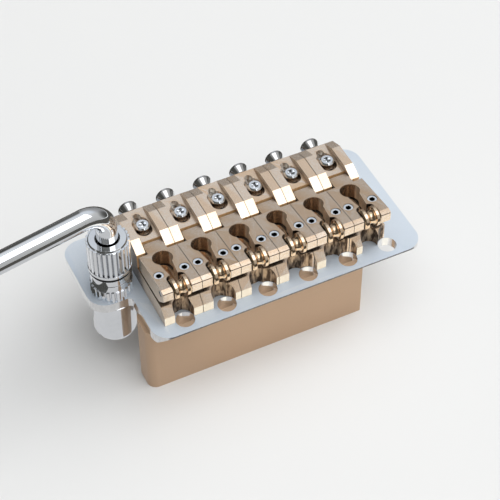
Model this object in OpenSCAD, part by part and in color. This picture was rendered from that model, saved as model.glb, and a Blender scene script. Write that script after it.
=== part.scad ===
// Guitar tremolo bridge: a six-hole baseplate on a sustain block, six sliding saddles
// with tilting roller tongues, and a swivelling arm in a knurled collar.
// Millimetres. X runs along the row of strings, Y runs from the neck side to the rear, Z is up.
// The origin is the middle of the pivot hole line, on the top face of the baseplate.

/* [Pivot holes] */
// Distance between neighbouring pivot holes
pivot_pitch = 11.3; // [10.8:0.1:11.8]
// Diameter of a pivot hole
pivot_hole_d = 4.8; // [4:0.1:5.4]

/* [Baseplate] */
// How far the plate stands out past the saddles on the ear's side
ear_side_margin = 3.5; // [3.3:0.1:5]
// How far the plate stands out past the saddles on the other side
far_side_margin = 8.5; // [3.3:0.1:9]
// Thickness of the plate
plate_t = 2.8; // [2.2:0.1:3.6]
// Distance from the pivot hole line to the front edge
front_edge = 3.9; // [3.4:0.1:5]
// Distance from the pivot hole line to the rear edge
rear_edge = 36.1; // [35.5:0.1:40]
// Radius of the outer corners
plate_corner_r = 4.8; // [3:0.1:6]
// Height of the flat land that is left on the bevelled front edge
edge_land = 0.5; // [0.3:0.1:1]
// How far the bevel under the front edge runs back
bevel_run = 2.4; // [1.5:0.1:3]
// How far the arm's ear stands out from the side
ear_w = 10; // [9.4:0.1:12]
// Distance from the pivot hole line to the front of the ear
ear_front = 12.4; // [11.6:0.1:12.6]
// Radius in the inner corner beside the ear
ear_fillet_r = 1.2; // [0.6:0.1:2]

/* [Sustain block] */
// Length of the block along the row
block_l = 60.6; // [56:0.2:64]
// Depth of the block where it meets the plate
block_top_d = 9.6; // [9:0.1:10.4]
// Depth of the block at its foot
block_foot_d = 8.5; // [8:0.1:9.6]
// Height of the block
block_h = 21.2; // [18:0.2:40]
// Distance from the pivot hole line to the front face of the block
block_front = 1.2; // [0.6:0.1:1.6]
// How far the middle of the block lies towards the ear
block_shift = 7.8; // [6:0.2:9]
// Radius of the block's front corner under the ear
block_front_r = 2.4; // [1:0.1:3.5]
// Radius of the block's rear corner under the ear
block_rear_r = 4; // [2:0.1:4.4]
// Radius of the block's corners at its other end
block_far_r = 0.6; // [0.4:0.1:2]
// Number of holes for the tension springs
spring_count = 5; // [3:1:5]
// Distance between neighbouring spring holes
spring_pitch = 10.8; // [9:0.1:12]
// Diameter of a spring hole
spring_hole_d = 2.8; // [2:0.1:3.2]
// Depth of a spring hole
spring_hole_depth = 8; // [5:0.5:10]

/* [Block screws] */
// Thread diameter of the screws that hold the block
block_screw_d = 3; // [2.5:0.1:3.5]
// Head diameter of the block screws
block_screw_head_d = 5.8; // [5:0.1:6.4]
// Length of the block screws
block_screw_l = 12; // [9:0.5:15]
// Distance between the outer block screws
block_screw_span = 44; // [36:1:48]

/* [Saddle row] */
// Distance between neighbouring strings
saddle_pitch = 10.4; // [10.3:0.05:10.8]
// Gap between neighbouring saddles
saddle_gap = 0.15; // [0.1:0.01:0.25]
// How far the middle of the row lies towards the ear
row_shift = 2.5; // [1.5:0.1:3]
// Distance from the pivot hole line to the saddles' front faces
saddle_front = 0.1; // [0:0.1:0.4]

/* [Saddle base] */
// Length of a saddle base
base_l = 31; // [30.4:0.1:32]
// Height of the floor under the tongue
base_h = 5; // [4.6:0.1:5.1]
// Height of the upright face at the front
nose_h = 2.8; // [2:0.1:3.5]
// How far the sloping nose runs back
nose_run = 2; // [1.8:0.1:3]
// Width of the slot in the nose
nose_slot_w = 4.8; // [4:0.1:5.2]
// Depth of the slot in the nose
nose_slot_d = 3.3; // [2.8:0.1:4]
// Distance from the saddle's front to the hook body behind the tongue
hook_front = 16.4; // [16.1:0.1:16.6]
// Distance from the saddle's front to the recess behind the tongue's tail
recess_front = 19.8; // [19.6:0.1:20]
// Height of the recess floor and of the rear wall
recess_h = 9.6; // [9.4:0.1:9.8]
// Height of the two side ribs
rib_h = 11.2; // [10.8:0.1:12]
// Width of a side rib
rib_w = 2.4; // [2:0.1:2.6]
// Height of a rib's front edge
rib_lip_h = 9.4; // [9:0.1:9.6]
// How far a rib's front slope runs back
rib_front_run = 3.7; // [3:0.1:5]
// How far a rib's rear slope runs forward
rib_rear_run = 3.9; // [3:0.1:5]

/* [Tongue] */
// Height of the tongue's front edge above the plate
tongue_h = 12.3; // [12:0.1:12.6]
// Slope of the tongue's top, in degrees
tongue_slope = 8; // [6:0.5:9]
// Length of the full width of the tongue
tongue_l = 15; // [14.8:0.1:15.6]
// Height of the underside at the hinge
tongue_under_h = 5.7; // [5.6:0.05:6]
// Extra height of the underside behind the front
tongue_under_rise = 0.5; // [0.3:0.1:0.8]
// Length of the sloping face under the front
chin_run = 3.1; // [2:0.1:3.4]
// Height of the bottom of the front face
chin_h = 9; // [8.4:0.1:9.4]
// Length of the bright front facet
brow_run = 1.3; // [0.8:0.1:1.8]
// Drop of the bright front facet
brow_drop = 0.35; // [0.2:0.05:0.6]
// Height of the fine groove under the bright front facet
brow_line = 0.3; // [0.15:0.05:0.4]
// Distance from the saddle's front to the end of the tail
tail_l = 19.1; // [19:0.05:19.2]
// Diameter of the keyhole's round end
key_d = 5.2; // [4.8:0.1:5.4]
// Distance from the saddle's front to the keyhole's round end
key_y = 12.1; // [11.8:0.1:12.4]
// Width of the string slot where it opens from the keyhole
slot_wide = 3.5; // [3:0.1:3.8]
// Width of the string slot at the roller
slot_narrow = 2; // [1.6:0.1:2.4]
// Width of the channel for the string's ball end
ball_channel_w = 4.2; // [4:0.1:4.4]
// Height of the ball channel inside the tongue
ball_channel_h = 3.4; // [3:0.1:3.8]
// Depth of the ball pocket in the base
ball_pocket_d = 1.4; // [1:0.1:2]

/* [Roller] */
// Diameter of the roller's flanges
roller_d = 5.3; // [5:0.1:5.5]
// Width of the roller
roller_w = 4.5; // [4:0.1:4.6]
// Radius of the string groove
groove_r = 1.1; // [0.8:0.05:1.3]
// Distance from the saddle's front to the roller's axle
roller_y = 1.95; // [1.8:0.05:2.2]
// Height of the roller's axle
roller_z = 10.3; // [10.2:0.05:10.4]
// Diameter of the roller's axle
axle_d = 1.6; // [1.4:0.1:1.8]
// Gap round the roller in its cavity
roller_gap = 0.2; // [0.15:0.05:0.3]

/* [Hinge pin] */
// Diameter of the hinge pin
pin_d = 1.6; // [1.4:0.1:1.8]
// Distance from the saddle's front to the hinge pin
pin_y = 17.9; // [17.8:0.05:18]
// Height of the hinge pin
pin_z = 7.6; // [7.4:0.1:7.8]

/* [Height screws] */
// Thread diameter of a height screw
height_screw_d = 2.5; // [2.2:0.1:2.8]
// Distance between the two height screws of a saddle
height_screw_span = 6.8; // [6.6:0.1:7]
// Distance from the saddle's front to the height screws
height_screw_y = 6.6; // [6.5:0.05:6.7]
// Width across flats of the height screws' sockets
height_socket_af = 1.3; // [1:0.1:1.5]

/* [Lock screws] */
// Thread diameter of a lock screw
lock_screw_d = 2; // [1.8:0.1:2.2]
// Head diameter of a lock screw
lock_head_d = 3.85; // [3.6:0.05:4]
// Head height of a lock screw
lock_head_h = 2.2; // [1.8:0.1:2.6]
// Width of the bevel round a lock screw's head
lock_head_bevel = 0.4; // [0.2:0.05:0.5]
// Width across flats of the lock screws' sockets
lock_socket_af = 1.8; // [1.4:0.1:2]
// Distance from the saddle's front to the lock screw
lock_y = 24.5; // [24.3:0.1:24.6]
// Depth of the counterbore below the recess floor
lock_seat_depth = 1.1; // [0.8:0.1:1.3]
// How far a saddle slides towards the neck
travel_front = 1.5; // [1:0.1:1.6]
// How far a saddle slides towards the rear
travel_rear = 1; // [0.5:0.1:1]
// Width of the window behind the counterbore
window_w = 2.1; // [1.8:0.1:2.3]
// Length of the window behind the counterbore
window_l = 1.3; // [0.8:0.1:1.4]

/* [Intonation screws] */
// Thread diameter of an intonation screw
tune_screw_d = 2.4; // [2.2:0.1:2.6]
// Height of the intonation screws
tune_z = 6.9; // [6.8:0.1:7]
// Diameter of an intonation screw's thumb head
tune_head_d = 5; // [4.4:0.1:5.4]
// Diameter of the head's narrow end
tune_neck_d = 3.2; // [2.8:0.1:3.6]
// Length of the flared head
tune_head_l = 2.4; // [2:0.1:2.8]
// Gap between the saddle's rear wall and the head
tune_head_gap = 1.2; // [1.1:0.1:1.6]

/* [Arm collar] */
// Distance from the ear's outer edge to the arm's axis
arm_inset = 6.9; // [6.6:0.1:7.4]
// Distance from the pivot hole line to the arm's axis
arm_y = 17.7; // [17.6:0.1:18.5]
// Diameter of the lower collar
collar_d = 10.8; // [10.4:0.1:11.2]
// Height of the lower collar
collar_h = 7.6; // [7:0.1:9]
// Height of the collar's knurled foot
collar_knurl_h = 3.4; // [2.5:0.1:4]
// Diameter of the thumb nut
nut_d = 10.8; // [10.4:0.1:11.2]
// Height of the thumb nut
nut_h = 9.5; // [9:0.1:12]
// Thickness of the rubber ring between the collar and the thumb nut
ring_d = 0.9; // [0.6:0.05:1]
// Height of the thumb nut's smooth foot
nut_foot_h = 0.8; // [0.6:0.1:1.5]
// Thickness of the thumb nut's top
nut_top_t = 2.4; // [1.8:0.1:3]
// Number of flutes round the knurls
flute_count = 26; // [22:1:32]
// Depth of a flute
flute_depth = 0.45; // [0.3:0.05:0.5]

/* [Arm housing] */
// Diameter of the barrel under the plate
barrel_d = 11; // [10.2:0.1:11.4]
// Height of the barrel's straight part
barrel_h = 10.8; // [9:0.1:12]
// Height of the barrel's tapered foot
barrel_taper_h = 1.6; // [1:0.1:2.4]
// Diameter of the barrel's foot
barrel_foot_d = 9.4; // [8.6:0.1:10]
// Thickness of the barrel's foot under the bore
barrel_floor_t = 2.7; // [2.2:0.1:3.5]
// Diameter of the threaded neck
neck_d = 8.6; // [8.4:0.1:8.8]
// Outer diameter of the sleeve that the arm turns in
sleeve_d = 7.2; // [6.8:0.1:7.4]
// Diameter of the screw that closes the barrel
plug_d = 4; // [3:0.1:5]
// Thickness of the thrust pad under the arm
pad_t = 1.5; // [1:0.1:2]

/* [Arm] */
// Diameter of the arm
arm_d = 5.4; // [5:0.1:6]
// Height of the arm's centreline above the thumb nut, taken on to the swivel axis
arm_rise = 9.9; // [9:0.1:12]
// Radius of the bend above the collar
arm_bend_r = 5.6; // [5.2:0.1:7]
// How far the arm turns towards the neck, in degrees
arm_turn = 6; // [0:1:12]
// How far the arm slopes down, in degrees
arm_fall = 5; // [3:0.5:8]
// Length of the arm from its bend to its rounded tip
arm_reach = 128; // [100:1:150]

/* [Fits] */
// Radial clearance between a thread or shaft that moves and its hole
running_clear = 0.05; // [0.02:0.01:0.08]
// Radial clearance between fixed pieces
seat_clear = 0.02; // [0.01:0.01:0.04]
// Gap under sliding and pressed faces
face_gap = 0.03; // [0.01:0.01:0.05]
// Gap between the height screws' tips and the base
tip_gap = 0.1; // [0.05:0.01:0.15]

/* [Hidden] */
$fn = 64;
STRINGS = 6;
CHROME = [0.80, 0.84, 0.88];
BRONZE = [0.68, 0.57, 0.46];
STEEL = [0.62, 0.64, 0.67];
NYLON = [0.92, 0.91, 0.88];
RUBBER = [0.08, 0.08, 0.08];
// How far a cutter passes the face it cuts
over = 1;
// Small chamfers on heads and rims
edge_break = 0.2;
// Extra width of a slot for what slides in it
slide_room = 0.4;
// Width across flats of a countersunk screw's socket, as a share of its thread
sunk_socket_share = 0.6;
// Depth of a set screw's socket
set_socket_depth = 1.4;

saddle_w = saddle_pitch - saddle_gap;
rib_inner_w = saddle_w - 2 * rib_w;
base_rear = saddle_front + base_l;
lock_at = saddle_front + lock_y;
lock_seat_z = recess_h - lock_seat_depth;
lock_hole_d = lock_screw_d + slide_room;
counterbore_d = lock_head_d + slide_room;
lock_socket_depth = lock_head_h * 0.55;
cavity_w = roller_w + 2 * roller_gap;
cavity_back_gap = 0.7;
cavity_rear = roller_y + roller_d / 2 + cavity_back_gap;
cavity_corner_r = 1.4;
tongue_tan = tan(tongue_slope);
tip_of_screw = lock_at + lock_screw_d / 2 + face_gap;
head_front = base_rear + tune_head_gap;
tail_gap = 0.15;
tail_w = rib_inner_w - 2 * tail_gap;
tail_chamfer = 0.6;
tail_edge = 0.2;
scallop_gap = 0.1;
ball_way_front = 8.6;
ball_way_rear = key_y + 0.4;
roller_edge = 0.35;
roller_side_edge = 0.3;
groove_out = 0.1;
pin_skin = rib_w / 3;
height_point_h = 0.5;
height_sink = 0.25;
side_play = 0.1;
flare_share = 0.75;
row_half = STRINGS * saddle_pitch / 2;
plate_left = -row_half - row_shift - ear_side_margin;
plate_right = row_half - row_shift + far_side_margin;
ear_edge = plate_left - ear_w;
arm_x = ear_edge + arm_inset;
ear_corner_r = 5;
nut_z = collar_h + ring_d + 2 * face_gap;
nut_top_z = nut_z + nut_h;
nut_room = 0.6;
nut_rim = 0.45;
nut_arm_gap = 0.4;
// The arm's straight is a hair thinner than its bend and starts inside it
bend_step = 0.06;
bend_lap = 0.4;
collar_step_h = 1;
collar_band_h = 1.2;
collar_groove = 0.3;
collar_top_z = collar_knurl_h + collar_step_h + collar_band_h + collar_groove;
neck_top = nut_top_z - nut_top_t - nut_room;
barrel_bottom = -plate_t - barrel_h - barrel_taper_h;
bore_floor = barrel_bottom + barrel_floor_t;
plug_sink = 0.3;
pad_top = bore_floor + pad_t;
block_left = -block_shift - block_l / 2;
block_screw_y = block_front + block_top_d / 2;
sink_h = (block_screw_head_d - block_screw_d) / 2;
spring_y = block_front + block_foot_d / 2;
plate_bottom = -plate_t;
foot_z = plate_bottom - block_h;

function string_x(i) = (i - (STRINGS + 1) / 2) * saddle_pitch - row_shift;
function hole_x(i) = (i - (STRINGS + 1) / 2) * pivot_pitch;
function block_screw_x(k) = -block_shift + k * block_screw_span / 2;
function spring_x(k) = (k - (spring_count - 1) / 2) * spring_pitch - block_shift;
function top_z(y) = tongue_h - (y - saddle_front) * tongue_tan;

function strings(name) = [for (i = [1:STRINGS]) str(name, "_", i)];

// Shared shapes

// A side outline in Y and Z, extruded along X about the middle of the saddle
module across(w) {
    translate([-w / 2, 0, 0])
        rotate([90, 0, 90])
            linear_extrude(w)
                children();
}

// A bar or hole along X
module cross_rod(d, w, y, z) {
    translate([-w / 2, y, z])
        rotate([0, 90, 0])
            cylinder(d = d, h = w);
}

// A bar or hole along Y
module long_rod(d, l, y, z) {
    translate([0, y, z])
        rotate([-90, 0, 0])
            cylinder(d = d, h = l);
}

// A hexagon socket, sunk from z = 0
module hex_socket(af, depth) {
    translate([0, 0, -depth])
        cylinder(d = af / cos(30), h = depth + over, $fn = 6);
}

// A slot along Y between two centres
module slot(d, y0, y1, h) {
    translate([0, y0, 0])
        cylinder(d = d, h = h);
    translate([0, y1, 0])
        cylinder(d = d, h = h);
    translate([-d / 2, y0, 0])
        cube([d, y1 - y0, h]);
}

// A rectangle with its own radius at each front and rear corner pair
module rounded_plan(x0, x1, y0, y1, front_r, rear_r) {
    difference() {
        translate([x0, y0])
            square([x1 - x0, y1 - y0]);
        for (side = [0, 1])
            translate([side == 0 ? x0 : x1, 0])
                mirror([side, 0])
                    union() {
                        translate([0, y0])
                            corner_waste(front_r);
                        translate([0, y1])
                            mirror([0, 1])
                                corner_waste(rear_r);
                    }
    }
}

// What a rounded corner loses, with the corner at the origin
module corner_waste(r) {
    difference() {
        translate([-over, -over])
            square(r + over);
        translate([r, r])
            circle(r);
    }
}

// A fluted cylinder
module fluted(d, h) {
    step = 360 / flute_count;
    land_share = 0.45;
    floor_share = 0.72;
    linear_extrude(h)
        polygon([
            for (k = [0:flute_count - 1])
                for (p = [[0, 0], [land_share, 0], [floor_share, flute_depth]])
                    (d / 2 - p[1]) * [cos((k + p[0]) * step), sin((k + p[0]) * step)]
        ]);
}

// Baseplate and block

module plate_plan() {
    difference() {
        union() {
            rounded_plan(plate_left, plate_right, -front_edge, rear_edge,
                plate_corner_r, plate_corner_r);
            difference() {
                rounded_plan(ear_edge, 0, ear_front, rear_edge, ear_corner_r, plate_corner_r);
                translate([-over, ear_front - over])
                    square([2 * over, rear_edge]);
            }
            translate([plate_left - ear_fillet_r, ear_front - ear_fillet_r])
                square([ear_fillet_r + over, ear_fillet_r + over]);
        }
        translate([plate_left - ear_fillet_r, ear_front - ear_fillet_r])
            circle(ear_fillet_r);
    }
}

module baseplate() {
    color(CHROME)
        difference() {
            translate([0, 0, plate_bottom])
                linear_extrude(plate_t)
                    plate_plan();
            across(2 * (plate_right - ear_edge))
                polygon([
                    [-front_edge - over, -edge_land],
                    [-front_edge, -edge_land],
                    [-front_edge + bevel_run, plate_bottom],
                    [-front_edge + bevel_run, plate_bottom - over],
                    [-front_edge - over, plate_bottom - over]
                ]);
            for (i = [1:STRINGS]) {
                translate([hole_x(i), 0, plate_bottom - over])
                    cylinder(d = pivot_hole_d, h = plate_t + 2 * over);
                translate([string_x(i), lock_at, plate_bottom - over])
                    cylinder(d = lock_screw_d + 2 * seat_clear, h = plate_t + 2 * over);
            }
            for (k = [-1:1])
                translate([block_screw_x(k), block_screw_y, 0])
                    block_screw_room();
            translate([arm_x, arm_y, plate_bottom - over])
                cylinder(d = neck_d + 2 * seat_clear, h = plate_t + 2 * over);
        }
}

// The countersunk hole for a block screw, in the plate
module block_screw_room() {
    translate([0, 0, plate_bottom - over])
        cylinder(d = block_screw_d + 2 * seat_clear, h = plate_t + 2 * over);
    translate([0, 0, -face_gap - sink_h])
        cylinder(d1 = block_screw_d + 2 * seat_clear, d2 = block_screw_head_d + 2 * seat_clear,
            h = sink_h);
    translate([0, 0, -face_gap])
        cylinder(d = block_screw_head_d + 2 * seat_clear, h = over);
}

module block_screws() {
    color(STEEL)
        for (k = [-1:1])
            translate([block_screw_x(k), block_screw_y, 0])
                difference() {
                    union() {
                        translate([0, 0, -block_screw_l])
                            cylinder(d = block_screw_d, h = block_screw_l - face_gap);
                        translate([0, 0, -face_gap - sink_h])
                            cylinder(d1 = block_screw_d, d2 = block_screw_head_d, h = sink_h);
                    }
                    translate([0, 0, -face_gap])
                        hex_socket(block_screw_d * sunk_socket_share, sink_h);
                }
}

// The block's outline, with rounder corners under the ear than at its far end
module block_plan() {
    middle = block_left + block_l / 2;
    rear = block_front + block_top_d;
    rounded_plan(block_left, block_left + block_l, block_front, rear, block_front_r, block_rear_r);
    rounded_plan(middle, block_left + block_l, block_front, rear, block_far_r, block_far_r);
}

module sustain_block() {
    color(BRONZE)
        difference() {
            intersection() {
                translate([0, 0, foot_z])
                    linear_extrude(block_h)
                        block_plan();
                across(4 * block_l)
                    polygon([
                        [block_front - over, plate_bottom],
                        [block_front + block_top_d, plate_bottom],
                        [block_front + block_foot_d, foot_z],
                        [block_front - over, foot_z]
                    ]);
            }
            for (k = [-1:1])
                translate([block_screw_x(k), block_screw_y, -block_screw_l - over])
                    cylinder(d = block_screw_d + 2 * seat_clear, h = block_screw_l);
            for (k = [0:spring_count - 1])
                translate([spring_x(k), spring_y, foot_z - over])
                    cylinder(d = spring_hole_d, h = spring_hole_depth + over);
        }
}

// Saddles

module saddle_base(i) {
    color(BRONZE)
        translate([string_x(i), 0, face_gap])
            difference() {
                union() {
                    across(saddle_w)
                        base_outline();
                    for (side = [-1, 1])
                        translate([side * (saddle_w - rib_w) / 2, 0, 0])
                            across(rib_w)
                                rib_outline();
                }
                translate([-rib_inner_w / 2, saddle_front + hook_front - over, base_h])
                    cube([rib_inner_w, recess_front - hook_front + over, recess_h]);
                nose_slot();
                pivot_scallops(i);
                translate([0, 0, base_h - ball_pocket_d])
                    slot(ball_channel_w, saddle_front + ball_way_front, saddle_front + ball_way_rear,
                        ball_pocket_d + over);
                translate([0, 0, pin_z - face_gap])
                    blind_pin_hole();
                lock_slot();
                long_rod(tune_screw_d + 2 * running_clear, base_rear - lock_at + over, lock_at,
                    tune_z - face_gap);
            }
}

// Side outline of the floor, the nose and the low hook body
module base_outline() {
    polygon([
        [saddle_front, 0],
        [saddle_front, nose_h],
        [saddle_front + nose_run, base_h],
        [saddle_front + hook_front, base_h],
        [saddle_front + hook_front, rib_lip_h],
        [saddle_front + hook_front + over, recess_h],
        [base_rear, recess_h],
        [base_rear, 0]
    ]);
}

// Side outline of a rib
module rib_outline() {
    polygon([
        [saddle_front + hook_front, base_h],
        [saddle_front + hook_front, rib_lip_h],
        [saddle_front + hook_front + rib_front_run, rib_h],
        [base_rear - rib_rear_run, rib_h],
        [base_rear, recess_h],
        [base_rear, base_h]
    ]);
}

module nose_slot() {
    slot_end = saddle_front + nose_slot_d - nose_slot_w / 2;
    translate([0, 0, -over])
        slot(nose_slot_w, saddle_front - nose_slot_w, slot_end, base_h + 2 * over);
}

// Round cuts that leave the pivot holes free
module pivot_scallops(i) {
    for (k = [1:STRINGS])
        if (abs(hole_x(k) - string_x(i)) < (saddle_w + pivot_hole_d) / 2)
            translate([hole_x(k) - string_x(i), 0, -over])
                cylinder(d = pivot_hole_d + 2 * scallop_gap, h = base_h + 2 * over);
}

// The hinge pin goes in from the right and stops short of the left face
module blind_pin_hole() {
    translate([-saddle_w / 2 + pin_skin, saddle_front + pin_y, 0])
        rotate([0, 90, 0])
            cylinder(d = pin_d + 2 * seat_clear, h = saddle_w);
}

// The slot that a saddle slides on its lock screw by
module lock_slot() {
    window_end = lock_at + travel_front + counterbore_d / 2 + window_l;
    translate([0, 0, -over])
        slot(lock_hole_d, lock_at - travel_rear, lock_at + travel_front, recess_h + 2 * over);
    translate([0, 0, lock_seat_z - face_gap])
        slot(counterbore_d, lock_at - travel_rear, lock_at + travel_front, rib_h);
    translate([0, 0, tune_z])
        slot(window_w, lock_at + travel_front, window_end - window_w / 2, rib_h);
}

module saddle_tongue(i) {
    color(BRONZE)
        translate([string_x(i), 0, 0])
            difference() {
                union() {
                    across(saddle_w)
                        tongue_outline();
                    across(tail_w)
                        tail_outline();
                }
                roller_cavity();
                keyhole();
                translate([0, 0, base_h])
                    slot(ball_channel_w, saddle_front + ball_way_front + ball_channel_w / 4,
                        saddle_front + key_y, tongue_under_h + ball_channel_h - base_h);
                cross_rod(axle_d + 2 * seat_clear, saddle_w + 2 * over,
                    saddle_front + roller_y, roller_z);
                cross_rod(pin_d + 2 * running_clear, saddle_w + 2 * over,
                    saddle_front + pin_y, pin_z);
                for (side = [-1, 1])
                    translate([side * height_screw_span / 2, saddle_front + height_screw_y, 0])
                        cylinder(d = height_screw_d + 2 * running_clear, h = 2 * tongue_h);
                brow_groove();
            }
}

// Side outline of the tongue's full width
module tongue_outline() {
    polygon([
        [saddle_front, chin_h],
        [saddle_front, top_z(brow_run) - brow_drop],
        [saddle_front + brow_run, top_z(saddle_front + brow_run)],
        [saddle_front + tongue_l, top_z(saddle_front + tongue_l)],
        [saddle_front + tongue_l, tongue_under_h],
        [saddle_front + chin_run, tongue_under_h + tongue_under_rise]
    ]);
}

// Side outline of the tail between the ribs
module tail_outline() {
    polygon([
        [saddle_front + tongue_l - over, tongue_under_h],
        [saddle_front + tongue_l - over, top_z(saddle_front + tongue_l - over)],
        [saddle_front + tail_l - tail_edge, top_z(saddle_front + tail_l - tail_edge)],
        [saddle_front + tail_l, top_z(saddle_front + tail_l) - tail_edge],
        [saddle_front + tail_l, tongue_under_h + tail_chamfer],
        [saddle_front + tail_l - tail_chamfer, tongue_under_h]
    ]);
}

module roller_cavity() {
    translate([0, 0, tongue_under_h - over])
        linear_extrude(tongue_h)
            rounded_plan(-cavity_w / 2, cavity_w / 2, saddle_front - 2 * over - cavity_corner_r,
                saddle_front + cavity_rear, cavity_corner_r, cavity_corner_r);
}

module keyhole() {
    translate([0, saddle_front + key_y, tongue_under_h - over])
        cylinder(d = key_d, h = tongue_h);
    translate([0, saddle_front, tongue_under_h - over])
        linear_extrude(tongue_h)
            polygon([
                [-slot_wide / 2, key_y - key_d / 4],
                [slot_wide / 2, key_y - key_d / 4],
                [slot_narrow / 2, cavity_rear - over / 4],
                [-slot_narrow / 2, cavity_rear - over / 4]
            ]);
}

// A fine line under the bright front facet
module brow_groove() {
    translate([-saddle_w, saddle_front - over, top_z(brow_run) - brow_drop - brow_line])
        cube([2 * saddle_w, over + brow_line / 2, brow_line]);
}

module string_roller(i) {
    color(BRONZE)
        translate([string_x(i) - roller_w / 2, saddle_front + roller_y, roller_z])
            rotate([0, 90, 0])
                rotate_extrude()
                    difference() {
                        polygon([
                            [axle_d / 2 + running_clear, 0],
                            [roller_d / 2 - roller_side_edge, 0],
                            [roller_d / 2, roller_edge],
                            [roller_d / 2, roller_w - roller_edge],
                            [roller_d / 2 - roller_side_edge, roller_w],
                            [axle_d / 2 + running_clear, roller_w]
                        ]);
                        translate([roller_d / 2 + groove_out, roller_w / 2])
                            circle(groove_r);
                    }
}

module roller_axle(i) {
    color(STEEL)
        translate([string_x(i), 0, 0])
            cross_rod(axle_d, saddle_w - 2 * side_play, saddle_front + roller_y, roller_z);
}

module hinge_pin(i) {
    pin_l = saddle_w - pin_skin - 2 * side_play;
    color(STEEL)
        translate([string_x(i) + saddle_w / 2 - side_play - pin_l / 2, 0, 0])
            cross_rod(pin_d, pin_l, saddle_front + pin_y, pin_z);
}

module height_screws(i) {
    y = saddle_front + height_screw_y;
    top = top_z(y) - height_sink;
    bottom = face_gap + base_h + tip_gap;
    color(CHROME)
        for (side = [-1, 1])
            translate([string_x(i) + side * height_screw_span / 2, y, bottom])
                difference() {
                    union() {
                        cylinder(d1 = height_screw_d / 2, d2 = height_screw_d, h = height_point_h);
                        translate([0, 0, height_point_h])
                            cylinder(d = height_screw_d, h = top - bottom - height_point_h);
                    }
                    translate([0, 0, top - bottom])
                        hex_socket(height_socket_af, set_socket_depth);
                }
}

module saddle_lock_screws() {
    head_z = lock_seat_z + 2 * face_gap;
    color(CHROME)
        for (i = [1:STRINGS])
            translate([string_x(i), lock_at, 0])
                difference() {
                    union() {
                        translate([0, 0, plate_bottom])
                            cylinder(d = lock_screw_d, h = lock_seat_z + plate_t + over);
                        translate([0, 0, head_z])
                            cylinder(d = lock_head_d, h = lock_head_h - lock_head_bevel);
                        translate([0, 0, head_z + lock_head_h - lock_head_bevel])
                            cylinder(d1 = lock_head_d, d2 = lock_head_d - 2 * lock_head_bevel,
                                h = lock_head_bevel);
                    }
                    translate([0, 0, head_z + lock_head_h])
                        hex_socket(lock_socket_af, lock_socket_depth);
                }
}

module intonation_screw(i) {
    flare_l = tune_head_l * flare_share;
    color(CHROME)
        translate([string_x(i), 0, tune_z])
            difference() {
                union() {
                    long_rod(tune_screw_d, head_front - tip_of_screw + over, tip_of_screw, 0);
                    translate([0, head_front, 0])
                        rotate([-90, 0, 0])
                            union() {
                                cylinder(d1 = tune_neck_d, d2 = tune_head_d, h = flare_l);
                                translate([0, 0, flare_l])
                                    cylinder(d = tune_head_d, h = tune_head_l - flare_l);
                            }
                }
                translate([0, head_front + tune_head_l, 0])
                    rotate([-90, 0, 0])
                        hex_socket(tune_screw_d * sunk_socket_share, tune_head_l / 2);
            }
}

// Arm and its collar

module at_arm() {
    translate([arm_x, arm_y, 0])
        children();
}

module arm_housing() {
    color(CHROME)
        at_arm()
            difference() {
                union() {
                    translate([0, 0, plate_bottom - barrel_h])
                        cylinder(d = barrel_d, h = barrel_h);
                    translate([0, 0, barrel_bottom])
                        cylinder(d1 = barrel_foot_d, d2 = barrel_d, h = barrel_taper_h);
                    translate([0, 0, plate_bottom - over])
                        cylinder(d = neck_d, h = neck_top - plate_bottom + over);
                }
                translate([0, 0, bore_floor])
                    cylinder(d = sleeve_d + 2 * seat_clear, h = neck_top - bore_floor + over);
                translate([0, 0, barrel_bottom - over])
                    cylinder(d = plug_d + 2 * seat_clear, h = barrel_floor_t + 2 * over);
            }
}

module lower_collar() {
    color(CHROME)
        at_arm()
            difference() {
                union() {
                    fluted(collar_d, collar_knurl_h);
                    translate([0, 0, collar_knurl_h])
                        cylinder(d = collar_d - 2 * flute_depth - edge_break, h = collar_step_h);
                    translate([0, 0, collar_knurl_h + collar_step_h])
                        cylinder(d = collar_d - 2 * edge_break, h = collar_band_h);
                    cylinder(d = collar_d - 2 * collar_groove, h = collar_h);
                    translate([0, 0, collar_top_z])
                        cylinder(d = collar_d - edge_break, h = collar_h - collar_top_z);
                }
                translate([0, 0, -over])
                    cylinder(d = neck_d + 2 * seat_clear, h = collar_h + 2 * over);
            }
}

// The rubber ring lies round the neck, between the collar and the nut
module friction_ring() {
    color(RUBBER)
        at_arm()
            translate([0, 0, collar_h + face_gap + ring_d / 2])
                rotate_extrude()
                    translate([neck_d / 2 + seat_clear + ring_d / 2, 0])
                        circle(d = ring_d);
}

module arm_sleeve() {
    color(NYLON)
        at_arm()
            difference() {
                translate([0, 0, pad_top + face_gap])
                    cylinder(d = sleeve_d, h = neck_top - pad_top - face_gap);
                cylinder(d = arm_d + 2 * running_clear, h = 8 * nut_h, center = true);
            }
}

module arm_thrust_pad() {
    color(NYLON)
        at_arm()
            translate([0, 0, bore_floor])
                cylinder(d = sleeve_d, h = pad_t);
}

module barrel_plug_screw() {
    foot = barrel_bottom + plug_sink;
    color(STEEL)
        at_arm()
            translate([0, 0, foot])
                difference() {
                    cylinder(d = plug_d, h = bore_floor - foot - face_gap);
                    mirror([0, 0, 1])
                        hex_socket(plug_d / 2, set_socket_depth);
                }
}

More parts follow.
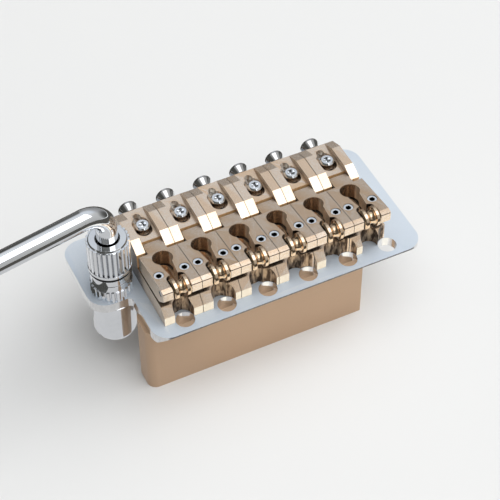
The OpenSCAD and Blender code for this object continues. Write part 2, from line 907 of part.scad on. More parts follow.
module thumb_nut() {
    rim_d = nut_d - 2 * flute_depth - edge_break;
    color(CHROME)
        at_arm()
            difference() {
                union() {
                    translate([0, 0, nut_z])
                        cylinder(d = nut_d + edge_break, h = nut_foot_h);
                    translate([0, 0, nut_z + nut_foot_h])
                        fluted(nut_d, nut_h - nut_foot_h - nut_rim);
                    translate([0, 0, nut_top_z - nut_rim])
                        cylinder(d1 = rim_d, d2 = rim_d - nut_rim, h = nut_rim);
                }
                translate([0, 0, nut_z - over])
                    cylinder(d = neck_d + 2 * running_clear, h = nut_h - nut_top_t + over);
                cylinder(d = arm_d + 2 * nut_arm_gap, h = 2 * nut_top_z);
            }
}

// The arm bends from upright to its slope and runs straight to a round tip
module tremolo_arm() {
    bend = 90 + arm_fall;
    outer_d = arm_d - bend_step;
    drop = arm_bend_r * tan(bend / 2);
    // Rounded, so that the bend's faces and the straight's meet exactly
    bend_z = round((nut_top_z + arm_rise - drop) * 100) / 100;
    foot = pad_top + face_gap;
    color(CHROME)
        at_arm()
            rotate([0, 0, 180 + arm_turn]) {
                translate([0, 0, foot])
                    cylinder(d = arm_d, h = bend_z - foot);
                translate([0, 0, bend_z])
                    bend_down(arm_bend_r, bend)
                        union() {
                            translate([0, 0, -bend_lap])
                                cylinder(d = outer_d, h = arm_reach + bend_lap);
                            translate([0, 0, arm_reach])
                                sphere(d = outer_d);
                        }
            }
}

// A bend of the arm from +Z towards +X, with what follows it carried to its end
module bend_down(r, angle) {
    translate([r, 0, 0])
        rotate([-90, 0, 0])
            rotate([0, 0, 180])
                rotate_extrude(angle = angle)
                    translate([r, 0])
                        circle(d = arm_d);
    translate([r, 0, 0])
        rotate([0, angle, 0])
            translate([-r, 0, 0])
                children();
}

baseplate();
sustain_block();
block_screws();
saddle_lock_screws();
arm_housing();
lower_collar();
friction_ring();
arm_sleeve();
arm_thrust_pad();
barrel_plug_screw();
thumb_nut();
tremolo_arm();
for (i = [1:STRINGS]) {
    saddle_base(i);
    saddle_tongue(i);
    string_roller(i);
    roller_axle(i);
    hinge_pin(i);
    height_screws(i);
    intonation_screw(i);
}
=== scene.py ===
import math

import bpy
from mathutils import Matrix, Vector

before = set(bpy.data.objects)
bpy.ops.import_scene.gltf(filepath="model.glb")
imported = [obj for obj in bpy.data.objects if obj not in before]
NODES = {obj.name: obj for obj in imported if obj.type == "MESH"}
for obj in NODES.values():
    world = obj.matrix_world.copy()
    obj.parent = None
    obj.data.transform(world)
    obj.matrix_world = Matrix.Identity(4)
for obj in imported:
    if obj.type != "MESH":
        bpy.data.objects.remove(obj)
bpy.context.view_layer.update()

MM = 0.001
STRINGS = range(1, 7)

# Places on the pieces, in part.scad's millimetres

SADDLE_PITCH = 10.4
SADDLE_AXIS = -7.7
RIB_FRONT = 16.5
RECESS_FRONT = 19.9

# Soft limits of the masks in millimetres: the place where a mask is 0, and the place where it is 1

PLATE_FRONT = (-3.4, -3.8)
NOSE_FRONT = (0.5, 0.3)
NOTCH_HALF_WIDTH = (4.9, 4.7)
NOTCH_NEAR = (0.2, 0.35)
NOTCH_FAR = (3.8, 3.6)
WINDOW_HALF_WIDTH = (1.5, 1.3)
WINDOW_NEAR = (27.4, 27.6)
WINDOW_FAR = (30.0, 29.8)
LIP_DEPTH = (0.3, 0.15)
LIP_NEAR = (RIB_FRONT - 1, RIB_FRONT - 0.5)

# Soft limits of the same kind on one component of a face's normal

NOT_UP = (0.75, 0.45)
UPRIGHT = (0.5, 0.3)
SIDEWAYS = (0.8, 0.95)
FORWARD = (-0.8, -0.95)
LIP_FORWARD = (-0.6, -0.9)

# Occlusion: soft limits on the open share of the surroundings, and how far they reach in millimetres

SIDE_OPEN = (0.35, 0.55)
SIDE_REACH = 4
OCCLUSION_SAMPLES = 6

# Noises: the features per metre, how many finer layers the noise has, and its stretch if it has one

BLOTCH = (140, 4)
SPECK = (2600, 2)
MOTTLE = (1100, 3, (1, 1, 0.3))
MOULDED_BLOTCH = (300, 4)
MOULDED_GRAIN = (1800, 3)
FLOOR_BLOTCH = (6, 3)
CARD_BLOTCH = (20, 2)
STREAK_LAYERS = 2
NOISE_ROUGHNESS = 0.55
NOISE_MIDDLE = 0.5

# Relief, wear and shine: where Pointiness starts to count as worn, and how fast it gains

GRAIN_DEPTH = 0.02 * MM
SPECK_SHARE = 0.5
WORN_FROM = 0.52
WORN_GAIN = 14
BARE_METAL = (0.9, 0.88, 0.84)
MOULDED_BUMP = 0.05
MOULDED_ROUGH_SPREAD = 0.2

# Noise values at which a surface has its dark tone, and its base tone

METAL_TONES = (0.32, 0.62)
MOTTLE_TONES = (0.42, 0.62)
PLAIN_TONES = (0.3, 0.7)


# Node helpers

class Tree:
    """A node tree with short calls to add and join nodes."""

    def __init__(self, tree):
        self.t = tree
        self.t.nodes.clear()

    def add(self, kind, **props):
        node = self.t.nodes.new(kind)
        for key, value in props.items():
            setattr(node, key, value)
        return node

    def link(self, out, into):
        self.t.links.new(out, into)


def math_node(m, op, a, b=None, c=None, clamp=False):
    """One operation on up to three values, each a number or a socket."""
    node = m.add("ShaderNodeMath", operation=op, use_clamp=clamp)
    for k, v in enumerate((a, b, c)):
        if v is None:
            continue
        if isinstance(v, (int, float)):
            node.inputs[k].default_value = v
        else:
            m.link(v, node.inputs[k])
    return node.outputs[0]


def times(m, a, b, clamp=False):
    return math_node(m, "MULTIPLY", a, b, clamp=clamp)


def plus(m, a, b, clamp=False):
    return math_node(m, "ADD", a, b, clamp=clamp)


def minus(m, a, b):
    return math_node(m, "SUBTRACT", a, b)


def size_of(m, value):
    return math_node(m, "ABSOLUTE", value)


def wrapped(m, value, middle, half):
    """How far a value lies from the nearest of the middles, which repeat every two halves."""
    return size_of(m, math_node(m, "WRAP", plus(m, value, -middle), half, -half))


def ramp(m, value, stops, interpolation="LINEAR"):
    """A colour for each value, from stops of a position and a colour."""
    node = m.add("ShaderNodeValToRGB")
    colours = node.color_ramp
    colours.interpolation = interpolation
    while len(colours.elements) < len(stops):
        colours.elements.new(0.5)
    for element, (position, colour) in zip(colours.elements, stops):
        element.position = position
        element.color = (*colour, 1)
    m.link(value, node.inputs["Fac"])
    return node.outputs["Color"]


def two_tones(m, value, at, dark, base):
    """A colour that runs from a dark tone to a base tone between two values."""
    return ramp(m, value, [(at[0], dark), (at[1], base)])


def coords(m, stretch):
    """The object's own coordinates, stretched."""
    place = m.add("ShaderNodeTexCoord")
    mapping = m.add("ShaderNodeMapping")
    mapping.inputs["Scale"].default_value = stretch
    m.link(place.outputs["Object"], mapping.inputs["Vector"])
    return mapping.outputs["Vector"]


def noise(m, scale, layers, stretch=(1, 1, 1)):
    """Noise that stays with the object."""
    node = m.add("ShaderNodeTexNoise")
    node.inputs["Scale"].default_value = scale
    node.inputs["Detail"].default_value = layers
    node.inputs["Roughness"].default_value = NOISE_ROUGHNESS
    m.link(coords(m, stretch), node.inputs["Vector"])
    return node.outputs["Fac"]


def blend(m, factor, a, b, kind="RGBA", how="MIX"):
    """Mixes two colours or two numbers, each a value or a socket."""
    mix = m.add("ShaderNodeMix", data_type=kind)
    if kind == "RGBA":
        mix.blend_type = how
    for name, v in (("Factor", factor), ("A", a), ("B", b)):
        if isinstance(v, (int, float)):
            mix.inputs[name].default_value = v
        elif isinstance(v, tuple):
            mix.inputs[name].default_value = (*v, 1)
        else:
            m.link(v, mix.inputs[name])
    return mix.outputs["Result"]


def open_share(m, reach, own=False):
    """How open the surroundings are, from 0 to 1, among the object's own faces or any."""
    occlusion = m.add("ShaderNodeAmbientOcclusion", samples=OCCLUSION_SAMPLES, only_local=own)
    occlusion.inputs["Distance"].default_value = reach * MM
    return occlusion.outputs["AO"]


# Masks, each 1 on some faces of a piece and 0 on the others

def step_mask(m, value, limits):
    """0 at the first limit, 1 at the second and smooth between them; the first may be the larger."""
    node = m.add("ShaderNodeMapRange", interpolation_type="SMOOTHSTEP")
    node.inputs["From Min"].default_value = limits[0]
    node.inputs["From Max"].default_value = limits[1]
    m.link(value, node.inputs["Value"])
    return node.outputs["Result"]


def all_of(m, mask, *others):
    """1 where every mask is 1."""
    for other in others:
        mask = times(m, mask, other)
    return mask


def place_and_normal(m):
    """The place in millimetres and the normal, both in the object's own axes."""
    tc = m.add("ShaderNodeTexCoord")
    place = m.add("ShaderNodeSeparateXYZ")
    m.link(tc.outputs["Object"], place.inputs[0])
    normal = m.add("ShaderNodeSeparateXYZ")
    m.link(tc.outputs["Normal"], normal.inputs[0])
    return [math_node(m, "DIVIDE", place.outputs[k], MM) for k in range(3)], normal.outputs


def edge_faces(m):
    """All but the faces that look up."""
    return step_mask(m, place_and_normal(m)[1]["Z"], NOT_UP)


def painted_dark_front_edge(m):
    """The plate's front edge, which is dark in the photograph; painted dark grey chrome here, a painted
    reflection of dim surroundings.
    """
    place, normal = place_and_normal(m)
    return all_of(m, step_mask(m, place[1], PLATE_FRONT), step_mask(m, normal["Z"], NOT_UP))


def side_faces(m):
    """The open faces that look along the row of saddles, without those in the gaps between them; the tan,
    less metallic bronze they get is painted light.
    """
    facing = step_mask(m, size_of(m, place_and_normal(m)[1]["X"]), SIDEWAYS)
    return all_of(m, facing, step_mask(m, open_share(m, SIDE_REACH), SIDE_OPEN))


def nose_faces(m):
    """The upright front faces of the noses, which get a pale cream bronze: a painted highlight."""
    place, normal = place_and_normal(m)
    return all_of(m, step_mask(m, place[1], NOSE_FRONT), step_mask(m, normal["Y"], FORWARD))


def walls_about_axis(m, half_width, near, far):
    """The upright faces of every saddle that lie near its middle and between two places along it."""
    place, normal = place_and_normal(m)
    return all_of(m, step_mask(m, wrapped(m, place[0], SADDLE_AXIS, SADDLE_PITCH / 2), half_width),
                  step_mask(m, place[1], near), step_mask(m, place[1], far),
                  step_mask(m, size_of(m, normal["Z"]), UPRIGHT))


def nose_notch(m):
    """The walls of the notches in the noses of the saddles, which get a dark mottled bronze: painted shade
    and a painted reflection.
    """
    return walls_about_axis(m, NOTCH_HALF_WIDTH, NOTCH_NEAR, NOTCH_FAR)


def window_walls(m):
    """The walls of the window behind each lock screw, which get a mottled pale cream: a painted highlight.
    """
    return walls_about_axis(m, WINDOW_HALF_WIDTH, WINDOW_NEAR, WINDOW_FAR)


def rib_lip(m):
    """The upright faces behind the tongue: the ribs' fronts and the recess's front wall, which get a
    bright orange: a painted glow of light bounced between the bronze faces.
    """
    place, normal = place_and_normal(m)
    off = wrapped(m, place[1], RIB_FRONT, (RECESS_FRONT - RIB_FRONT) / 2)
    return all_of(m, step_mask(m, off, LIP_DEPTH), step_mask(m, place[1], LIP_NEAR),
                  step_mask(m, normal["Y"], LIP_FORWARD))


# Materials

def start_material(name):
    """A new material, its empty tree and the socket that its surface goes into."""
    mat = bpy.data.materials.new(name)
    mat.use_nodes = True
    m = Tree(mat.node_tree)
    return mat, m, m.add("ShaderNodeOutputMaterial").inputs["Surface"]


def start_solid(name):
    """A new material, its tree and its Principled shader."""
    mat, m, surface = start_material(name)
    shader = m.add("ShaderNodeBsdfPrincipled")
    m.link(shader.outputs["BSDF"], surface)
    return mat, m, shader


def add_bump(m, shader, height, strength):
    bump = m.add("ShaderNodeBump")
    bump.inputs["Strength"].default_value = strength
    bump.inputs["Distance"].default_value = GRAIN_DEPTH
    m.link(height, bump.inputs["Height"])
    m.link(bump.outputs["Normal"], shader.inputs["Normal"])


def shade_in_hollows(m, colour, reach, stops, own=False):
    """Painted shade: darkens a colour by how closed in the surface lies."""
    tint = ramp(m, open_share(m, reach, own), stops, "EASE")
    return blend(m, 1.0, colour, tint, how="MULTIPLY")


def worn_edges(m, colour, speck, amount, tint):
    """Lightens a colour along the edges that hands and tools touch."""
    pointed = m.add("ShaderNodeNewGeometry").outputs["Pointiness"]
    edge = times(m, minus(m, pointed, WORN_FROM), WORN_GAIN, clamp=True)
    edge = times(m, edge, times(m, speck, amount / NOISE_MIDDLE), clamp=True)
    return blend(m, edge, colour, tint)


def with_walls(m, walls, colour, roughness, metallic):
    """Gives the faces under each wall's mask a mottled colour of their own: on the plate's edges a real
    finish, elsewhere painted light and shade.
    """
    for wall in walls:
        mask = wall["where"](m)
        finish = two_tones(m, noise(m, *MOTTLE), MOTTLE_TONES, wall["dark"], wall["base"])
        colour = blend(m, mask, colour, finish)
        roughness = blend(m, mask, roughness, wall["rough"], "FLOAT")
        metallic = blend(m, mask, metallic, wall["metallic"], "FLOAT")
    return colour, roughness, metallic


def metal(name, base, dark, rough, rough_spread, grain_scale, grain_bump, smudge, wear,
          metallic=1.0, grain=(1, 1, 1), wear_colour=BARE_METAL, hollow_shade=None, walls=()):
    """A plated or brushed metal with grain, smudges, worn edges, painted shade in its crevices, and the
    colours of its walls, most of them painted light and shade.
    """
    mat, m, shader = start_solid(name)
    shader.inputs["Metallic"].default_value = metallic
    blotch = noise(m, *BLOTCH)
    streak = noise(m, grain_scale, STREAK_LAYERS, grain)
    speck = noise(m, *SPECK)
    mixed = plus(m, times(m, blotch, smudge), times(m, streak, 1 - smudge))

    colour = two_tones(m, mixed, METAL_TONES, dark, base)
    colour = worn_edges(m, colour, speck, wear, wear_colour)
    spread = times(m, minus(m, mixed, NOISE_MIDDLE), rough_spread / NOISE_MIDDLE)
    roughness = plus(m, spread, rough, clamp=True)
    # Painted shade in the crevices, by how closed in each face lies
    if hollow_shade:
        colour = shade_in_hollows(m, colour, *hollow_shade)
    if walls:
        colour, roughness, metallic = with_walls(m, walls, colour, roughness, metallic)
        m.link(metallic, shader.inputs["Metallic"])
    m.link(colour, shader.inputs["Base Color"])
    m.link(roughness, shader.inputs["Roughness"])
    add_bump(m, shader, plus(m, streak, times(m, speck, SPECK_SHARE)), grain_bump)
    return mat


def plastic(name, base, dark, rough):
    """A moulded plastic or rubber with faint blotches and grain."""
    mat, m, shader = start_solid(name)
    blotch = noise(m, *MOULDED_BLOTCH)
    m.link(two_tones(m, blotch, PLAIN_TONES, dark, base), shader.inputs["Base Color"])
    m.link(plus(m, times(m, blotch, MOULDED_ROUGH_SPREAD), rough), shader.inputs["Roughness"])
    add_bump(m, shader, noise(m, *MOULDED_GRAIN), MOULDED_BUMP)
    return mat


# Painted shade: tints by how closed in a surface lies, from shut to open, which darken crevices, sockets,
# flutes, gaps and keyholes

OPEN = (1, 1, 1)
SHADE_BLACK = (0.03, 0.028, 0.027)
GAP_SHADE = [(0.12, SHADE_BLACK), (0.55, OPEN)]
SOCKET_SHADE = [(0.2, SHADE_BLACK), (0.75, OPEN)]
CAP_SHADE = [(0.3, SHADE_BLACK), (0.6, OPEN)]
FLUTE_SHADE = [(0.35, (0.20, 0.20, 0.21)), (0.75, OPEN)]
BROWN_SHADE_IN_GAPS = [(0.08, (0.03, 0.027, 0.025)), (0.24, (0.25, 0.21, 0.18)), (0.45, OPEN)]
KEYHOLE_SHADE = [(0.2, (0.04, 0.037, 0.035)), (0.55, (0.15, 0.135, 0.125)), (0.85, OPEN)]

# Colours that some faces of a piece get of their own: the plate's edges have a real finish of their own,
# and the rest are painted light and shade

PLATE_WALLS = {"where": edge_faces, "base": (0.88, 0.88, 0.88), "dark": (0.80, 0.80, 0.80),
               "rough": 0.12, "metallic": 1}
# Dark grey chrome on the plate's front edge: a painted dark reflection
FRONT_PAINTED_REFLECTION = {"where": painted_dark_front_edge, "base": (0.20, 0.20, 0.21), "dark": (0.14, 0.14, 0.15),
              "rough": 0.3, "metallic": 1}
# Tan, less metallic bronze on the side faces: painted light
SIDE_PAINTED_LIGHT = {"where": side_faces, "base": (0.80, 0.66, 0.52), "dark": (0.74, 0.60, 0.46),
              "rough": 0.3, "metallic": 0.3}
# Dark mottled bronze in the notches: painted shade and a painted reflection
NOTCH_PAINTED_SHADE = {"where": nose_notch, "base": (0.50, 0.36, 0.24), "dark": (0.07, 0.045, 0.03),
               "rough": 0.3, "metallic": 1}
# Bright orange on the lips: a painted glow of bounced light
LIP_PAINTED_GLOW = {"where": rib_lip, "base": (0.98, 0.60, 0.29), "dark": (0.90, 0.50, 0.22),
             "rough": 0.4, "metallic": 0.1}
# Pale cream on the nose fronts: a painted highlight
NOSE_PAINTED_HIGHLIGHT = {"where": nose_faces, "base": (0.97, 0.89, 0.76), "dark": (0.92, 0.83, 0.70),
              "rough": 0.2, "metallic": 0.7}
# Mottled pale cream in the windows: a painted highlight
WINDOW_PAINTED_HIGHLIGHT = {"where": window_walls, "base": (1.0, 0.95, 0.86), "dark": (0.35, 0.25, 0.17),
                "rough": 0.3, "metallic": 0.2}
SADDLE_PAINTED_LIGHT_AND_SHADE = (SIDE_PAINTED_LIGHT, NOTCH_PAINTED_SHADE, LIP_PAINTED_GLOW, NOSE_PAINTED_HIGHLIGHT, WINDOW_PAINTED_HIGHLIGHT)

# Finishes of whole pieces: grain is the stretch of the streaks, and smudge the blotches' share beside them

BRONZE = dict(base=(0.86, 0.63, 0.435), dark=(0.80, 0.58, 0.40), rough=0.22, rough_spread=0.05,
              metallic=0.85, grain=(1, 8, 1), grain_scale=420, grain_bump=0.03, smudge=0.4, wear=0.4)
TONGUE_BRONZE = dict(BRONZE, base=(0.785, 0.565, 0.378), dark=(0.735, 0.52, 0.345))
ROLLER_BRONZE = dict(base=(0.86, 0.66, 0.46), dark=(0.76, 0.55, 0.37), rough=0.14, rough_spread=0.06,
                     grain=(8, 1, 1), grain_scale=420, grain_bump=0.03, smudge=0.4, wear=0.4)
BLOCK_BRONZE = dict(base=(0.58, 0.39, 0.252), dark=(0.56, 0.374, 0.242), rough=0.5, rough_spread=0.06,
                    metallic=0.3, grain=(1, 1, 6), grain_scale=380, grain_bump=0.05, smudge=0.5,
                    wear=0.2, wear_colour=(0.6, 0.45, 0.32))
CHROME = dict(base=(0.88, 0.90, 0.93), dark=(0.82, 0.84, 0.87), rough=0.06, rough_spread=0.04,
              grain_scale=700, grain_bump=0.01, smudge=0.7, wear=0.2)
# The thumb screws' chrome is a darker copy of the bright chrome: painted shade
DARKENED_THUMB_CHROME = dict(CHROME, base=(0.62, 0.62, 0.63), dark=(0.52, 0.51, 0.50))
PLATE_CHROME = dict(base=(0.56, 0.63, 0.715), dark=(0.54, 0.61, 0.69), rough=0.5, rough_spread=0.05,
                    metallic=0.3, grain_scale=500, grain_bump=0.01, smudge=0.8, wear=0.2)
STEEL = dict(base=(0.70, 0.72, 0.74), dark=(0.52, 0.54, 0.57), rough=0.22, rough_spread=0.1,
             grain_scale=900, grain_bump=0.03, smudge=0.4, wear=0.3)
NYLON = dict(base=(0.82, 0.81, 0.77), dark=(0.76, 0.74, 0.70), rough=0.4)
RUBBER = dict(base=(0.02, 0.02, 0.02), dark=(0.012, 0.012, 0.012), rough=0.45)

# A hollow shade is painted shade: its reach in millimetres, its tints, and True where only the piece's own
# faces count

MATERIALS = {
    "plate": metal("plate_chrome", **PLATE_CHROME, walls=(PLATE_WALLS, FRONT_PAINTED_REFLECTION)),
    "chrome": metal("bright_chrome", **CHROME, hollow_shade=(1.2, GAP_SHADE)),
    "screw": metal("screw_chrome", **CHROME, hollow_shade=(2.5, SOCKET_SHADE, True)),
    "thumb": metal("thumb_screw_chrome", **DARKENED_THUMB_CHROME, hollow_shade=(2.5, SOCKET_SHADE, True)),
    "cap": metal("cap_screw_chrome", **CHROME, hollow_shade=(1.2, CAP_SHADE, True)),
    "knurl": metal("knurl_chrome", **CHROME, hollow_shade=(0.8, FLUTE_SHADE, True)),
    "tongue": metal("satin_bronze_tongue", **TONGUE_BRONZE, hollow_shade=(5, KEYHOLE_SHADE),
                    walls=(SIDE_PAINTED_LIGHT,)),
    "base": metal("satin_bronze_base", **BRONZE, hollow_shade=(4, BROWN_SHADE_IN_GAPS), walls=SADDLE_PAINTED_LIGHT_AND_SHADE),
    "roller": metal("polished_bronze", **ROLLER_BRONZE, hollow_shade=(2, BROWN_SHADE_IN_GAPS)),
    "block": metal("matt_bronze", **BLOCK_BRONZE),
    "steel": metal("turned_steel", **STEEL, hollow_shade=(1.5, GAP_SHADE)),
    "nylon": plastic("nylon_white", **NYLON),
    "rubber": plastic("rubber_black", **RUBBER),
}

LOOK = {
    "baseplate": "plate",
    "sustain_block": "block",
    "block_screws": "steel",
    "saddle_lock_screws": "cap",
    "arm_housing": "chrome",
    "lower_collar": "knurl",
    "friction_ring": "rubber",
    "arm_sleeve": "nylon",
    "arm_thrust_pad": "nylon",
    "barrel_plug_screw": "steel",
    "thumb_nut": "knurl",
    "tremolo_arm": "chrome",
}
LOOK_PER_STRING = {
    "saddle_base": "base",
    "saddle_tongue": "tongue",
    "string_roller": "roller",
    "roller_axle": "steel",
    "hinge_pin": "steel",
    "height_screws": "screw",
    "intonation_screw": "thumb",
}
LOOK.update({f"{kind}_{i}": look for i in STRINGS for kind, look in LOOK_PER_STRING.items()})


# Soft edges on the CAD nodes, by modifiers; the bevels' widths are in millimetres

SHARP_FROM = math.radians(20)
FLAT_TO = math.radians(0.6)
JOIN_WITHIN = 0.002 * MM
BEVEL_SEGMENTS = 2
BEVEL_WIDTH = {"plate": 0.12, "block": 0.12, "chrome": 0.07, "screw": 0.07, "thumb": 0.07,
               "cap": 0.07, "knurl": 0.07, "base": 0.09, "tongue": 0.09, "roller": 0.08,
               "steel": 0.05, "nylon": 0.1, "rubber": 0.05}


def clean_group():
    """Joins the mesh's split vertices and shades it smooth with sharp edges marked."""
    group = bpy.data.node_groups.new("clean_edges", "GeometryNodeTree")
    for way in ("INPUT", "OUTPUT"):
        group.interface.new_socket("Geometry", in_out=way, socket_type="NodeSocketGeometry")
    t = Tree(group)
    start = t.add("NodeGroupInput")
    end = t.add("NodeGroupOutput")
    drop = t.add("GeometryNodeRemoveAttribute")
    drop.inputs["Name"].default_value = "custom_normal"
    merge = t.add("GeometryNodeMergeByDistance")
    merge.inputs["Distance"].default_value = JOIN_WITHIN
    smooth = t.add("GeometryNodeSetShadeSmooth")
    angle = t.add("GeometryNodeInputMeshEdgeAngle")
    sharp = t.add("FunctionNodeCompare", data_type="FLOAT", operation="GREATER_THAN")
    sharp.inputs[1].default_value = SHARP_FROM
    store = t.add("GeometryNodeStoreNamedAttribute", data_type="BOOLEAN", domain="EDGE")
    store.inputs["Name"].default_value = "sharp_edge"
    t.link(start.outputs[0], drop.inputs["Geometry"])
    t.link(drop.outputs[0], merge.inputs["Geometry"])
    t.link(merge.outputs[0], smooth.inputs["Geometry"])
    t.link(smooth.outputs[0], store.inputs["Geometry"])
    t.link(angle.outputs["Unsigned Angle"], sharp.inputs[0])
    t.link(sharp.outputs["Result"], store.inputs["Value"])
    t.link(store.outputs[0], end.inputs[0])
    return group


CLEAN = clean_group()


def dress(node, look):
    """Gives a CAD node its material and its soft edges."""
    node.data.materials.clear()
    node.data.materials.append(MATERIALS[look])
    clean = node.modifiers.new("clean", "NODES")
    clean.node_group = CLEAN
    flat = node.modifiers.new("flat_faces", "DECIMATE")
    flat.decimate_type = "DISSOLVE"
    flat.angle_limit = FLAT_TO
    bevel = node.modifiers.new("soft_edge", "BEVEL")
    bevel.width = BEVEL_WIDTH[look] * MM
    bevel.segments = BEVEL_SEGMENTS
    bevel.limit_method = "ANGLE"
    bevel.angle_limit = SHARP_FROM
    bevel.harden_normals = True
    bevel.use_clamp_overlap = True


for name, look in LOOK.items():
    dress(NODES[name], look)


# Floor, with edges and height in millimetres

FLOOR_Z = -24.0
FLOOR_EDGES = (-3000, 3000, -3000, 3000)
FLOOR_DARK = (0.74, 0.74, 0.735)
FLOOR_BASE = (0.755, 0.753, 0.745)
FLOOR_ROUGHNESS = 0.7
FLOOR_SPECULAR = 0.2


def level_corners(edges, z):
    """The corners of a level rectangle in metres, from its edges and height in millimetres."""
    x0, x1, y0, y1 = edges
    return [(x * MM, y * MM, z * MM) for x, y in ((x0, y0), (x1, y0), (x1, y1), (x0, y1))]


def stage_sheet(name, corners, material):
    """A four-cornered sheet of the studio, which isn't part of the object."""
    mesh = bpy.data.meshes.new(name)
    mesh.from_pydata(corners, [], [(0, 1, 2, 3)])
    mesh.materials.append(material)
    o = bpy.data.objects.new(name, mesh)
    bpy.context.scene.collection.objects.link(o)
    return o


def floor_material():
    mat, m, shader = start_solid("pale_floor")
    tone = two_tones(m, noise(m, *FLOOR_BLOTCH), PLAIN_TONES, FLOOR_DARK, FLOOR_BASE)
    m.link(tone, shader.inputs["Base Color"])
    shader.inputs["Roughness"].default_value = FLOOR_ROUGHNESS
    shader.inputs["Specular IOR Level"].default_value = FLOOR_SPECULAR
    return mat


stage_sheet("floor", level_corners(FLOOR_EDGES, FLOOR_Z), floor_material())


# World: each sky runs from the horizon to the zenith

ZENITH = (0.80, 0.83, 0.86)
DUSK = (0.07, 0.07, 0.065)
BACKDROP = (0.60, 0.60, 0.60)
REAR_SKY = [(0.0, (0.27, 0.27, 0.27)), (0.30, (0.30, 0.30, 0.30)), (0.50, (0.37, 0.37, 0.37)),
            (0.58, (0.43, 0.435, 0.44)), (0.74, (0.66, 0.70, 0.75)), (1.0, ZENITH)]
FRONT_SKY = [(0.0, (0.45, 0.45, 0.44)), (0.70, (0.58, 0.58, 0.57)), (1.0, ZENITH)]
REAR_SIDE_SKY = [(0.0, DUSK), (0.66, (0.08, 0.08, 0.075)), (0.76, (0.62, 0.63, 0.64)), (1.0, ZENITH)]
FRONT_SIDE_SKY = [(0.0, DUSK), (0.70, (0.11, 0.11, 0.10)), (0.88, (0.5, 0.5, 0.5)), (1.0, ZENITH)]

# Soft limits on a direction's x, for the pale band's two sides, and on its y

BAND_LEFT = (0.0, 0.25)
BAND_RIGHT = (1.0, 0.8)
BEHIND = (-0.15, 0.3)


def make_world():
    """Pale overhead and in a band right of the middle from front to rear, dim at the sides.
    The camera sees an even backdrop instead."""
    world = bpy.data.worlds.new("studio")
    bpy.context.scene.world = world
    world.use_nodes = True
    m = Tree(world.node_tree)
    out = m.add("ShaderNodeOutputWorld")
    background = m.add("ShaderNodeBackground")
    direction = m.add("ShaderNodeSeparateXYZ")
    m.link(m.add("ShaderNodeTexCoord").outputs["Generated"], direction.inputs[0])
    x, y, z = direction.outputs
    in_band = all_of(m, step_mask(m, x, BAND_LEFT), step_mask(m, x, BAND_RIGHT))
    behind = step_mask(m, y, BEHIND)
    band = blend(m, behind, ramp(m, z, FRONT_SKY), ramp(m, z, REAR_SKY))
    sides = blend(m, behind, ramp(m, z, FRONT_SIDE_SKY), ramp(m, z, REAR_SIDE_SKY))
    dome = blend(m, in_band, sides, band)
    seen = m.add("ShaderNodeLightPath").outputs["Is Camera Ray"]
    m.link(blend(m, seen, dome, BACKDROP), background.inputs["Color"])
    background.inputs["Strength"].default_value = 1.0
    m.link(background.outputs[0], out.inputs["Surface"])


make_world()


# Level cards, seen in reflections alone: edges and height in millimetres, colour and strength

CARD_DARK_SHARE = 0.97
WHITE = (1.0, 1.0, 1.0)
DIM = (0.09, 0.085, 0.075)
CARDS = {
    "front_white_card": ((-22, 60, -40, -14), -23.7, (1.0, 0.97, 0.88), 1.2),
    "left_grey_card": ((-90, -22, -46, 30), -23.8, (0.6, 0.6, 0.6), 1.0),
    "front_dark_card": ((-900, 900, -1200, -46), -23.8, DIM, 1.0),
    "rear_dark_card": ((-900, 900, 60, 1200), -23.8, DIM, 1.0),
    "left_dark_card": ((-900, -90, -46, 60), -23.8, DIM, 1.0),
    "right_dark_card": ((90, 900, -46, 60), -23.8, DIM, 1.0),
    "ear_dark_card": ((-50, -45.9, 9, 21), 0.05, (0.07, 0.07, 0.065), 1.0),
    "nose_white_card": ((-34, 27, -3.8, 0.05), 0.04, (1.0, 0.96, 0.86), 1.1),
}


def card_material(name, colour, strength):
    """Glows on the front side and can't be seen from the back."""
    mat, m, surface = start_material(name)
    glow = m.add("ShaderNodeEmission")
    dark = tuple(c * CARD_DARK_SHARE for c in colour)
    m.link(two_tones(m, noise(m, *CARD_BLOTCH), PLAIN_TONES, dark, colour), glow.inputs["Color"])
    glow.inputs["Strength"].default_value = strength
    sides = m.add("ShaderNodeMixShader")
    m.link(m.add("ShaderNodeNewGeometry").outputs["Backfacing"], sides.inputs[0])
    m.link(glow.outputs[0], sides.inputs[1])
    m.link(m.add("ShaderNodeBsdfTransparent").outputs[0], sides.inputs[2])
    m.link(sides.outputs[0], surface)
    return mat


def card(name, corners, colour, strength):
    """A card whose corners run anticlockwise on its front side."""
    o = stage_sheet(name, corners, card_material(name, colour, strength))
    o.visible_camera = False
    o.visible_diffuse = False
    o.visible_shadow = False


for name, (edges, z, colour, strength) in CARDS.items():
    card(name, level_corners(edges, z), colour, strength)


# Lamps: the direction they stand in, their width in metres and their power in watts

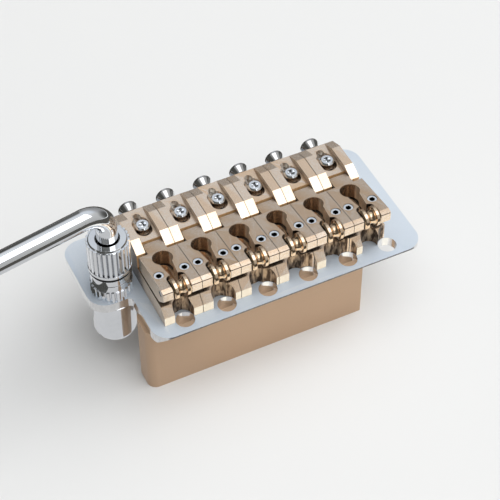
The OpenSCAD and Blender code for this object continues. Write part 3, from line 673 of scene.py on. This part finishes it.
LAMP_DISTANCE = 2.4
KEY = {"direction": (0.17, -0.33, 0.93), "width": 3.2, "power": 54}
SIDE = {"direction": (0.85, 0.05, 0.52), "width": 1.8, "power": 24}
KEY_CARD_SIZE = (1.76, 2.2)
KEY_CARD_STRENGTH = 2.25


def softbox(name, direction, width, power):
    """A square lamp that lights without a reflection."""
    data = bpy.data.lights.new(name, "AREA")
    data.shape = "RECTANGLE"
    data.size = width
    data.size_y = width
    data.energy = power
    lamp = bpy.data.objects.new(name, data)
    towards = Vector(direction).normalized()
    lamp.location = towards * LAMP_DISTANCE
    lamp.rotation_euler = towards.to_track_quat("Z", "Y").to_euler()
    lamp.visible_glossy = False
    bpy.context.scene.collection.objects.link(lamp)
    return lamp


def lamp_card(lamp, size, strength):
    """A white card in a lamp's place, for the metal to mirror."""
    half_x, half_y = size[0] / 2, size[1] / 2
    pose = Matrix.Translation(lamp.location) @ lamp.rotation_euler.to_matrix().to_4x4()
    around = ((-half_x, -half_y), (-half_x, half_y), (half_x, half_y), (half_x, -half_y))
    corners = [pose @ Vector((x, y, 0)) for x, y in around]
    card(lamp.name + "_card", corners, WHITE, strength)


lamp_card(softbox("key", **KEY), KEY_CARD_SIZE, KEY_CARD_STRENGTH)
softbox("side", **SIDE)


# Camera, as fitted to the photograph: its place in millimetres, its axes and its lens

CAMERA_AT = (-125.36, -237.53, 307.67)
CAMERA_RIGHT = (0.89912, -0.43769, -0.00268)
CAMERA_UP = (0.32584, 0.66523, 0.67179)
CAMERA_FORWARD = (0.29225, 0.60489, -0.74074)
SENSOR_WIDTH = 36
FOCAL_LENGTH = 117.54
CLIP_START = 0.01
CLIP_END = 20


def make_camera():
    data = bpy.data.cameras.new("camera")
    data.sensor_width = SENSOR_WIDTH
    data.lens = FOCAL_LENGTH
    data.clip_start = CLIP_START
    data.clip_end = CLIP_END
    camera = bpy.data.objects.new("camera", data)
    bpy.context.scene.collection.objects.link(camera)
    turn = Matrix((CAMERA_RIGHT, CAMERA_UP, -Vector(CAMERA_FORWARD))).transposed()
    camera.matrix_world = Matrix.Translation(Vector(CAMERA_AT) * MM) @ turn.to_4x4()
    bpy.context.scene.camera = camera


make_camera()
bpy.context.scene.view_settings.view_transform = "Standard"
